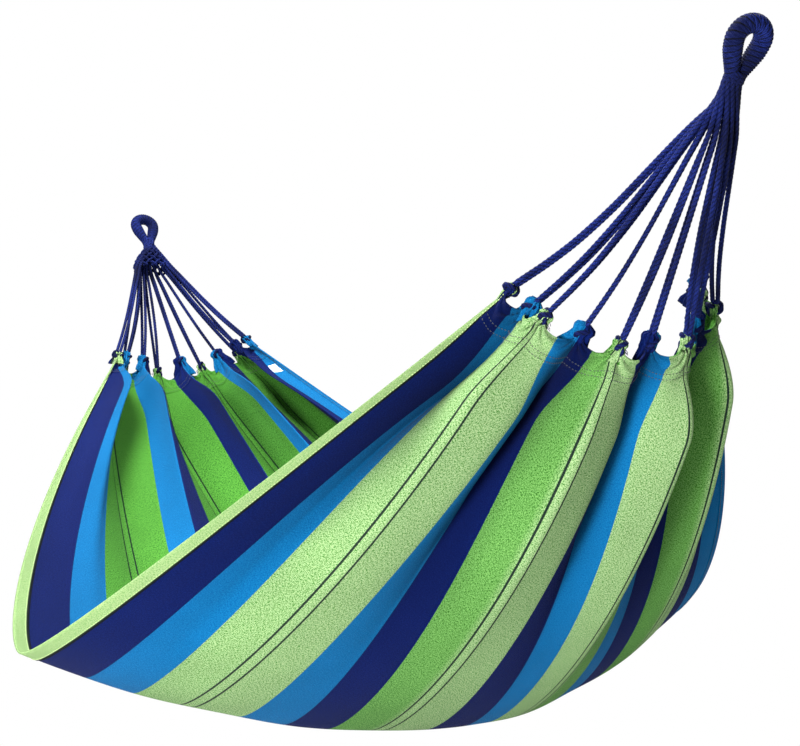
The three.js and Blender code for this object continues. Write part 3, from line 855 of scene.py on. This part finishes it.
def add_cords(end, twist, *stem):
    """The doubled clew cords of one end. They bend at the throat, between the eye and the bed."""
    for index in range(len(GATHERS)):
        gather = Gather(end, index)
        route = cord_leg(end, gather, index, 1, twist) + bight_turn(gather)
        route += cord_leg(end, gather, index, -1, twist)[::-1]
        parts = tube(smooth_path(route, CORD_STEP), laid(ROPE_DIAMETER), CORD_SIDES)
        cord = add_mesh(f"{end.name}_cord_{index + 1}", *parts, CORD_ROPE)
        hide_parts(f"{end.name}_clew_cord_{index + 1}", *(stem if index == 0 else ()))
        throat = end.point(0.0, THROAT_DROP)
        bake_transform(cord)


def add_weave(end):
    """The widening band below the throat, where the cords are plaited through each other."""
    share = np.linspace(0, 1, 46)
    down = THROAT_DROP + WEAVE_START + (STEM_LENGTH - WEAVE_SHORTER) * share
    widening = np.sin(share * math.pi / 2)
    half = WEAVE_TOP_HALF + (end.fan_half + WEAVE_OUTSIDE - WEAVE_TOP_HALF) * widening
    thick = WEAVE_TOP_THICK + WEAVE_TOP_THICK * widening
    shift = end.fan_depth * 0.55 * share
    parts = []
    for sense in (1, -1):
        over = sense * WEAVE_WAVE * np.cos(WEAVE_STRANDS * WEAVE_SWEEP * share)
        for strand in range(WEAVE_STRANDS):
            angle = 2 * np.pi * strand / WEAVE_STRANDS + sense * WEAVE_SWEEP * share
            path = end.point((half + over) * np.cos(angle), down, shift + (thick + over) * np.sin(angle))
            parts.append(tube(smooth_path(path, 0.0014), laid(WEAVE_STRAND), 12))
    weave = add_mesh(f"{end.name}_weave", *joined(parts), CORD_ROPE)
    place(weave, HAMMOCK, "cord", "far_nettle_weave")


# Eye loops
def eye_centreline(end, step):
    middle = EYE_RADIUS - WHIPPED_RADIUS
    points = [end.point(across, down) for across, down in EYE_LEGS]
    for angle in np.radians(np.linspace(-12, 192, 11)):
        points.append(end.point(EYE_RADIUS * math.cos(angle), middle - EYE_RADIUS * math.sin(angle)))
    points += [end.point(-across, down) for across, down in EYE_LEGS[::-1]]
    return smooth_path(points, step)


def add_eye(end):
    path = eye_centreline(end, WHIPPING_TURN / 9)
    length = np.linalg.norm(np.diff(path, axis=0), axis=1).sum()

    def wound(s, a):
        """The radius of the whipped rope: a ridge for each turn, and thinner towards the ends."""
        share = (s / WHIPPING_TURN - a / (2 * np.pi)) % 1.0
        ridge = np.sqrt(np.clip(1 - (2 * share - 1) ** 2, 0, 1))
        grown = np.clip(np.minimum(s, length - s) / WHIPPING_GROWTH, 0, 1) ** 0.8
        return BARE_RADIUS + (WHIPPED_RADIUS - BARE_RADIUS) * grown + WHIPPING_RIDGE * ridge

    eye = add_mesh(f"{end.name}_eye", *tube(path, wound, 28), EYE_ROPE)
    place(eye, EYES, "whipping", f"{end.name}_eye_whipping", f"{end.name}_eye_core")

    # The seizing: turns of the cord that close the throat, slanted as they were pulled tight
    turns = np.linspace(0, 2 * np.pi * SEIZING_TURNS, 160)
    slant = SEIZING_SLANT * np.cos(turns)
    down = THROAT_DROP - SEIZING_TOP + SEIZING_LENGTH * turns / turns[-1] + slant
    coil = end.point(SEIZING_HALF * np.cos(turns), down, SEIZING_THICK * np.sin(turns))
    wrap = add_mesh(f"{end.name}_seizing", *tube(coil, laid(SEIZING_CORD), CORD_SIDES), CORD_ROPE)
    place(wrap, EYES, "whipping", f"{end.name}_throat_seizing")


# Tips: the cloth bunched up into each knot
def cloth_tip(end, gather, index):
    """A pleated tip from inside the sleeve's edge, through the knot, to a short frill above it."""
    step = 1e-3
    after, before = min(gather.v + step, 1.0), max(gather.v - step, 0.0)
    edge = unit(bed_point(end.u, after) - bed_point(end.u, before))
    wide = unit(edge - gather.pull * (edge @ gather.pull))
    thick = np.cross(gather.pull, wide)
    size = BIG_TIP if index % 2 else SMALL_TIP
    heights = np.array([-0.020, -0.010, 0.0, 0.006, 0.011, 0.015, 0.018]) * size
    half_wide = np.array([0.016, 0.014, 0.010, 0.0085, 0.0100, 0.0085, 0.003]) * size
    half_thick = np.array([0.002, 0.004, 0.006, 0.0065, 0.0075, 0.0065, 0.002]) * size
    s, a = np.meshgrid(np.linspace(heights[0], heights[-1], 26),
                       np.linspace(0, 2 * np.pi, 72, endpoint=False), indexing="ij")
    pleat = 1 + 0.20 * np.cos(9 * a + 1.3 * index + 40 * s) + 0.06 * np.cos(23 * a + index)
    x = np.interp(s, heights, half_wide) * np.cos(a) * pleat
    y = np.interp(s, heights, half_thick) * np.sin(a) * pleat
    points = gather.edge + s[..., None] * gather.pull + x[..., None] * wide + y[..., None] * thick
    across = np.clip(gather.v + 0.30 * UNIT * np.cos(a), 0.003, 0.997) * CUT_WIDTH
    uv = np.stack([s, across], -1).reshape(-1, 2)
    rows, sides = s.shape
    faces = grid_quads(rows, sides, closed=True).tolist()
    faces += [list(range(sides)), [(rows - 1) * sides + j for j in range(sides - 1, -1, -1)]]
    return points.reshape(-1, 3), faces, uv


def add_tips(end):
    tips = [cloth_tip(end, Gather(end, index), index) for index in range(len(GATHERS))]
    place(add_mesh(f"{end.name}_cloth_tips", *joined(tips), CANVAS), HAMMOCK, "sleeve_canvas")


# Knots: an overhand knot of cord round the tip of each gather, with a short frayed end
def trefoil(gather, radius, count=90):
    t = np.linspace(0, 2 * np.pi, count, endpoint=False)
    x = np.sin(t) + 2 * np.sin(2 * t)
    y = np.cos(t) - 2 * np.cos(2 * t)
    z = -np.sin(3 * t)
    across = np.cross(gather.pull, gather.side)
    scale = radius / 3
    return (gather.knot + np.outer(x * scale, gather.side) + np.outer(z * scale * 1.4, across)
            + np.outer(y * scale * 1.05, gather.pull))


def frayed_end(gather, draw, count, length):
    parts = []
    across = np.cross(gather.pull, gather.side)
    root = gather.knot + across * 0.004
    for _ in range(count):
        lean = draw.normal(0, 0.35, 3)
        tip = root + unit(across * 0.8 - gather.pull * 0.9 + lean) * length * draw.uniform(0.6, 1.1)
        mid = (root + tip) / 2 + draw.normal(0, 0.0012, 3)
        path = smooth_path([root, mid, tip], length / 6)
        parts.append(tube(path, lambda s, a: HAIR_RADIUS, 5))
    return parts


def add_knots(end):
    draw = np.random.default_rng(11 + int(end.u))
    for index in range(len(GATHERS)):
        gather = Gather(end, index)
        radius = KNOT_RADIUS * (BIG_KNOT if index % 2 else SMALL_KNOT)
        loop = tube(trefoil(gather, radius), laid(ROPE_DIAMETER), KNOT_SIDES, closed=True)
        fray = FRAY_LONG if index in LONG_FRAYS else FRAY_SHORT
        parts = [loop] + frayed_end(gather, draw, FRAY_HAIRS, fray)
        knot = add_mesh(f"{end.name}_knot_{index + 1}", *joined(parts), KNOT_ROPE)
        place(knot, HAMMOCK, "knot", f"{end.name}_gather_knot_{index + 1}")


# The cloth
def add_cloth():
    """The bed, its sleeves, hems, label and stitches. The bed itself is returned."""
    hem = HEM_WIDTH / CUT_WIDTH
    sleeve = SLEEVE_WIDTH / CUT_LENGTH
    columns = np.linspace(hem - LAP, 1 - hem + LAP, 400)
    end_rows = np.linspace(0, sleeve, 22)
    bed_rows = np.linspace(sleeve - SLEEVE_LAP, 1 - sleeve + SLEEVE_LAP, 360)
    bed = cloth_slab("bed_cloth", bed_rows, columns, CLOTH, CANVAS)
    place(bed, HAMMOCK, "bed_canvas", "bed_panel")
    near = cloth_slab("near_sleeve", end_rows, columns, SLEEVE_CLOTH, CANVAS)
    place(near, HAMMOCK, "sleeve_canvas", "near_end_sleeve")
    far = cloth_slab("far_sleeve", 1 - end_rows[::-1], columns, SLEEVE_CLOTH, CANVAS)
    place(far, HAMMOCK, "sleeve_canvas", "far_end_sleeve")
    rows = np.linspace(0, 1, 700)
    front = cloth_slab("front_hem", rows, np.linspace(0, hem, 7), HEM_CLOTH, HEM_CANVAS)
    place(front, HAMMOCK, "hem_canvas", "front_side_hem")
    rear = cloth_slab("rear_hem", rows, np.linspace(1 - hem, 1, 7), HEM_CLOTH, REAR_CANVAS)
    place(rear, HAMMOCK, "sleeve_canvas", "rear_side_hem")

    half_u, half_v = LABEL_SIZE / 2 / CUT_LENGTH, LABEL_SIZE / 2 / CUT_WIDTH
    label_u, label_v = 1 - LABEL_FROM_END / CUT_LENGTH, 1 - LABEL_FROM_RIM / CUT_WIDTH
    label = cloth_slab("label", np.linspace(label_u - half_u, label_u + half_u, 14),
                       np.linspace(label_v - half_v, label_v + half_v, 14), LABEL_THICKNESS, LABEL,
                       offset=-(CLOTH / 2 + 0.0005), pulled=False)
    place(label, HAMMOCK, "label", "blank_label")
    add_stitching(hem, sleeve)
    return bed


def stitch_row(u, v, thickness, pitch=0.0042, radius=0.00055):
    """One row of running stitch that passes in and out of the cloth along a line of (u, v)."""
    points = tip_pull(u, v, bed_point(u, v))
    normal = surface_normal(bed_point, u, v)
    along = np.concatenate([[0], np.cumsum(np.linalg.norm(np.diff(points, axis=0), axis=1))])
    weave = np.clip(1.6 * np.cos(2 * np.pi * along / pitch), -1, 1)
    path = points + normal * (weave * (thickness / 2 + radius * 0.5))[:, None]
    return tube(path, lambda s, a: radius, 6)


def add_stitching(hem, sleeve):
    """Two dark rows along each sleeve, and one row along each side hem."""
    across = np.linspace(hem, 1 - hem, 2200)
    rows = []
    for share in STITCHED_SLEEVE:
        rows.append(stitch_row(np.full_like(across, sleeve * share), across, SLEEVE_CLOTH))
        rows.append(stitch_row(np.full_like(across, 1 - sleeve * share), across, SLEEVE_CLOTH))
    dark = add_mesh("sleeve_stitches", *joined(rows), DARK_THREAD)
    place(dark, HAMMOCK, "sleeve_canvas")
    along = np.linspace(0.001, 0.999, 3600)
    from_rim = hem * STITCHED_HEM
    for name, v, material in (("hem_stitches", from_rim, PALE_THREAD),
                              ("rear_stitches", 1 - from_rim, DARK_THREAD)):
        row = stitch_row(along, np.full_like(along, v), HEM_CLOTH)
        place(add_mesh(name, *row, material), HAMMOCK, "hem_canvas")


# Floor and light
def add_stage():
    """A pale floor under the hammock that runs out into the white of the surroundings."""
    vertices, faces = [(0.0, 0.0, 0.0)], []
    for ring in range(1, FLOOR_RINGS + 1):
        radius = FLOOR_RADIUS * (ring / FLOOR_RINGS) ** 2
        for side in range(FLOOR_SIDES):
            angle = 2 * math.pi * side / FLOOR_SIDES
            vertices.append((radius * math.cos(angle), radius * math.sin(angle), 0.0))
    for side in range(FLOOR_SIDES):
        faces.append([0, 1 + side, 1 + (side + 1) % FLOOR_SIDES])
    for ring in range(FLOOR_RINGS - 1):
        for side in range(FLOOR_SIDES):
            a = 1 + ring * FLOOR_SIDES + side
            b = 1 + ring * FLOOR_SIDES + (side + 1) % FLOOR_SIDES
            faces.append([a, a + FLOOR_SIDES, b + FLOOR_SIDES, b])
    mesh = bpy.data.meshes.new("floor")
    mesh.from_pydata(vertices, [], faces)
    floor = bpy.data.objects.new("floor", mesh)
    floor.location = (-EYE_SPAN / 2, 0.0, -FLOOR_DROP)
    bpy.context.scene.collection.objects.link(floor)
    material = bpy.data.materials.new("pale_floor")
    nodes = Nodes(material)
    spot = nodes.add("TexCoord").outputs["Object"]
    ahead = nodes.add("VectorMath", {0: spot, 1: LOOK}, operation="DOT_PRODUCT").outputs["Value"]
    far = nodes.smooth_step(ahead, 0.7, 1.7)
    matt = nodes.add("BsdfDiffuse", {"Color": (0.62, 0.62, 0.62, 1.0)})
    white = nodes.add("Emission", {"Color": (1.0, 1.0, 1.0, 1.0), "Strength": 1.0})
    mixed = nodes.add("MixShader", {0: far})
    nodes.tree.links.new(matt.outputs[0], mixed.inputs[1])
    nodes.tree.links.new(white.outputs[0], mixed.inputs[2])
    nodes.tree.links.new(mixed.outputs[0], nodes.add("OutputMaterial").inputs[0])
    mesh.materials.append(material)


def add_area_light(name, spot, size, power):
    light = bpy.data.lights.new(name, "AREA")
    light.shape = "DISK"
    light.size = size
    light.energy = power
    lamp = bpy.data.objects.new(name, light)
    lamp.location = spot
    direction = Vector(LAMPS_AIM) - Vector(spot)
    lamp.rotation_euler = direction.to_track_quat("-Z", "Y").to_euler()
    bpy.context.scene.collection.objects.link(lamp)


def add_lights():
    """A bright studio wall beyond the bed, a dimmer one behind the camera, and three soft lamps."""
    world = bpy.data.worlds.new("world")
    nodes = Nodes(world)
    towards = nodes.add("TexCoord").outputs["Generated"]
    ahead = nodes.add("VectorMath", {0: towards, 1: LOOK}, operation="DOT_PRODUCT").outputs["Value"]
    bright = nodes.smooth_step(ahead, 0.25, 0.75)
    strength = nodes.ranged(bright, 0.0, 1.0, 0.30, 1.0)
    sky = nodes.add("Background", {"Color": (1.0, 1.0, 1.0, 1.0), "Strength": strength})
    nodes.tree.links.new(sky.outputs[0], nodes.add("OutputWorld").inputs[0])
    bpy.context.scene.world = world
    for lamp in LAMPS:
        add_area_light(*lamp)
    bpy.context.scene.view_settings.view_transform = "Standard"


add_camera()
add_cords(NEAR, math.radians(95), "near_cord_stem")
add_cords(FAR, math.radians(40))
add_weave(FAR)
for end in (NEAR, FAR):
    add_eye(end)
    add_knots(end)
    add_tips(end)
bed_cloth = add_cloth()
add_stage()
add_lights()
